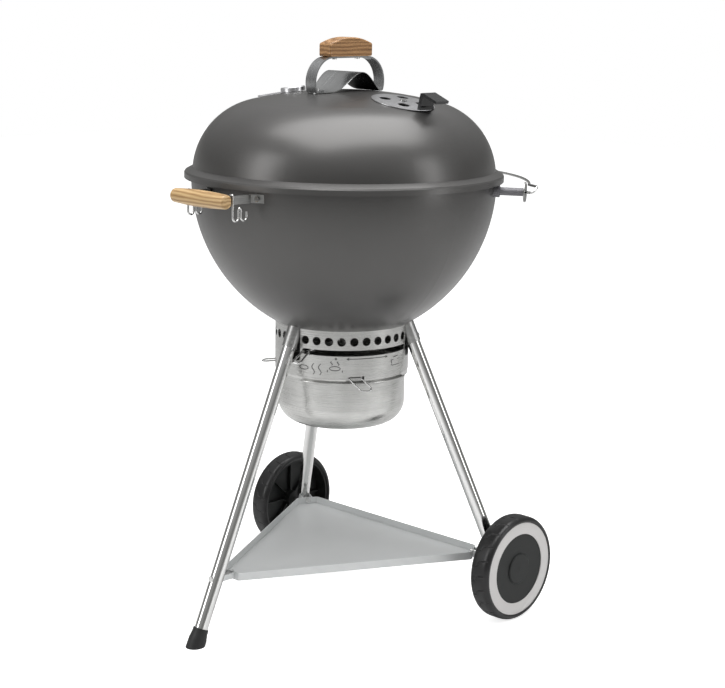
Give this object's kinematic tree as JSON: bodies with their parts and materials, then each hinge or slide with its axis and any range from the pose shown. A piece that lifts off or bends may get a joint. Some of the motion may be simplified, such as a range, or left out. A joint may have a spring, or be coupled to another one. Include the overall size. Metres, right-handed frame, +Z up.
{
  "type": "kettle charcoal grill",
  "caption": "Round kettle charcoal grill with lift-off lid, grates, ash catcher, three tubular legs, two wheels and a wire lid rest.",
  "frame": {"origin": "the point on the floor under the kettle's axis", "axes": "+Z up along the kettle's axis; the side handle and the foot are at -Y, the wheels at +Y; the axle lies along X"},
  "size_m": [0.6512, 0.7406, 1.094],
  "materials": {
    "kettle_enamel": "satin",
    "plated_grille": "satin",
    "galvanised_steel": "satin",
    "bright_tube": "polished",
    "socket_steel": "satin",
    "black_moulding": "matt",
    "shelf_paint": "satin",
    "bright_fastener": "polished",
    "handle_wood": "oiled",
    "satin_strap": "satin",
    "bright_wire": "polished",
    "vent_plate": "satin",
    "dial_white": "matt",
    "dial_red": "satin",
    "lens_glass": "clear",
    "tyre_rubber": "matt",
    "white_wall": "satin",
    "hub_plastic": "satin"
  },
  "bodies": {
    "kettle": {"ash_ring": "galvanised_steel", "axle": "bright_tube", "axle_bracket_left": "black_moulding", "axle_bracket_right": "black_moulding", "bowl": "kettle_enamel", "charcoal_grate": "plated_grille", "charcoal_grate_brackets": "plated_grille", "cooking_grate_brackets": "plated_grille", "cooking_grate_middle": "plated_grille", "foot_cap": "black_moulding", "leg_front": "bright_tube", "leg_left": "bright_tube", "leg_right": "bright_tube", "leg_sockets": "socket_steel", "lid_rest_flange_left": "satin_strap", "lid_rest_flange_right": "satin_strap", "lid_rest_tube_left": "kettle_enamel", "lid_rest_tube_right": "kettle_enamel", "shelf": "shelf_paint", "shelf_screws": "bright_fastener", "side_handle_grip": "handle_wood", "side_handle_rivets": "bright_fastener", "side_handle_screws": "bright_fastener", "side_handle_strap": "satin_strap", "snap_buttons": "bright_tube", "tool_hook_left": "bright_wire", "tool_hook_right": "bright_wire"},
    "lid": {"lid": "kettle_enamel", "lid_strap": "satin_strap", "lid_grip": "handle_wood", "lid_grip_screws": "bright_fastener", "heat_shield": "satin_strap", "shield_rivets": "bright_fastener", "thermometer_housing": "vent_plate", "thermometer_face": "dial_white", "thermometer_stem": "bright_fastener", "thermometer_lens": "lens_glass", "badge_plate": "vent_plate"},
    "needle": {"thermometer_needle": "dial_red"},
    "lid_vent": {"vent_disc": "vent_plate", "vent_rivet": "bright_fastener", "vent_tab": "black_moulding"},
    "lid_rest": {"lid_rest_hoop": "bright_wire"},
    "grate_flap_front": {"cooking_grate_flap_front": "plated_grille"},
    "grate_flap_back": {"cooking_grate_flap_back": "plated_grille"},
    "damper": {"damper_blades": "galvanised_steel", "damper_shaft": "galvanised_steel", "damper_lever": "galvanised_steel"},
    "pot": {"ash_pot": "galvanised_steel"},
    "latch_front": {"pot_latch_front": "bright_wire"},
    "latch_left": {"pot_latch_left": "bright_wire"},
    "latch_back": {"pot_latch_back": "bright_wire"},
    "wheel_right": {"tyre_right": "tyre_rubber", "white_ring_right": "white_wall", "wheel_hub_right": "hub_plastic", "hub_cap_right": "hub_plastic"},
    "wheel_left": {"tyre_left": "tyre_rubber", "white_ring_left": "white_wall", "wheel_hub_left": "hub_plastic", "hub_cap_left": "hub_plastic"}
  },
  "joints": [
    {"name": "lid_lift", "type": "slide", "parent": "kettle", "child": "lid", "axis": [0, 0, 1], "range_m": [0, 0.36]},
    {"name": "lid_vent_turn", "type": "hinge", "parent": "lid", "child": "lid_vent", "pos_m": [0.146, 0, 0.98314], "axis": [0.1948, 0, 0.9808], "range_deg": [0, 45]},
    {"name": "needle_turn", "type": "hinge", "parent": "lid", "child": "needle", "pos_m": [-0.09426, -0.04395, 0.99025], "axis": [-0.1258, -0.0586, 0.9903], "range_deg": [-250, 0]},
    {"name": "lid_rest_swing", "type": "hinge", "parent": "kettle", "child": "lid_rest", "pos_m": [0, 0.17225, 0.8205], "axis": [1, 0, 0], "range_deg": [0, 70]},
    {"name": "grate_flap_front_lift", "type": "hinge", "parent": "kettle", "child": "grate_flap_front", "pos_m": [0, -0.14, 0.785], "axis": [-1, 0, 0], "range_deg": [0, 100]},
    {"name": "grate_flap_back_lift", "type": "hinge", "parent": "kettle", "child": "grate_flap_back", "pos_m": [0, 0.14, 0.785], "axis": [1, 0, 0], "range_deg": [0, 100]},
    {"name": "damper_turn", "type": "hinge", "parent": "kettle", "child": "damper", "pos_m": [0, 0, 0.521], "axis": [0, 0, 1], "range_deg": [0, 91]},
    {"name": "ash_pot_drop", "type": "slide", "parent": "kettle", "child": "pot", "axis": [0, 0, -1], "range_m": [0, 0.13]},
    {"name": "latch_front_swing", "type": "hinge", "parent": "kettle", "child": "latch_front", "pos_m": [0.10363, -0.0699, 0.473], "axis": [-0.5592, -0.829, 0], "range_deg": [-3, 60]},
    {"name": "latch_left_swing", "type": "hinge", "parent": "kettle", "child": "latch_left", "pos_m": [-0.11235, -0.0548, 0.473], "axis": [-0.4384, 0.8988, 0], "range_deg": [-40, 25]},
    {"name": "latch_back_swing", "type": "hinge", "parent": "kettle", "child": "latch_back", "pos_m": [0.00872, 0.1247, 0.473], "axis": [0.9976, -0.0698, 0], "range_deg": [-3, 60]},
    {"name": "wheel_right_spin", "type": "hinge", "parent": "kettle", "child": "wheel_right", "pos_m": [0.304, 0.16275, 0.1015], "axis": [1, 0, 0], "continuous": true},
    {"name": "wheel_left_spin", "type": "hinge", "parent": "kettle", "child": "wheel_left", "pos_m": [-0.304, 0.16275, 0.1015], "axis": [1, 0, 0], "continuous": true}
  ]
}
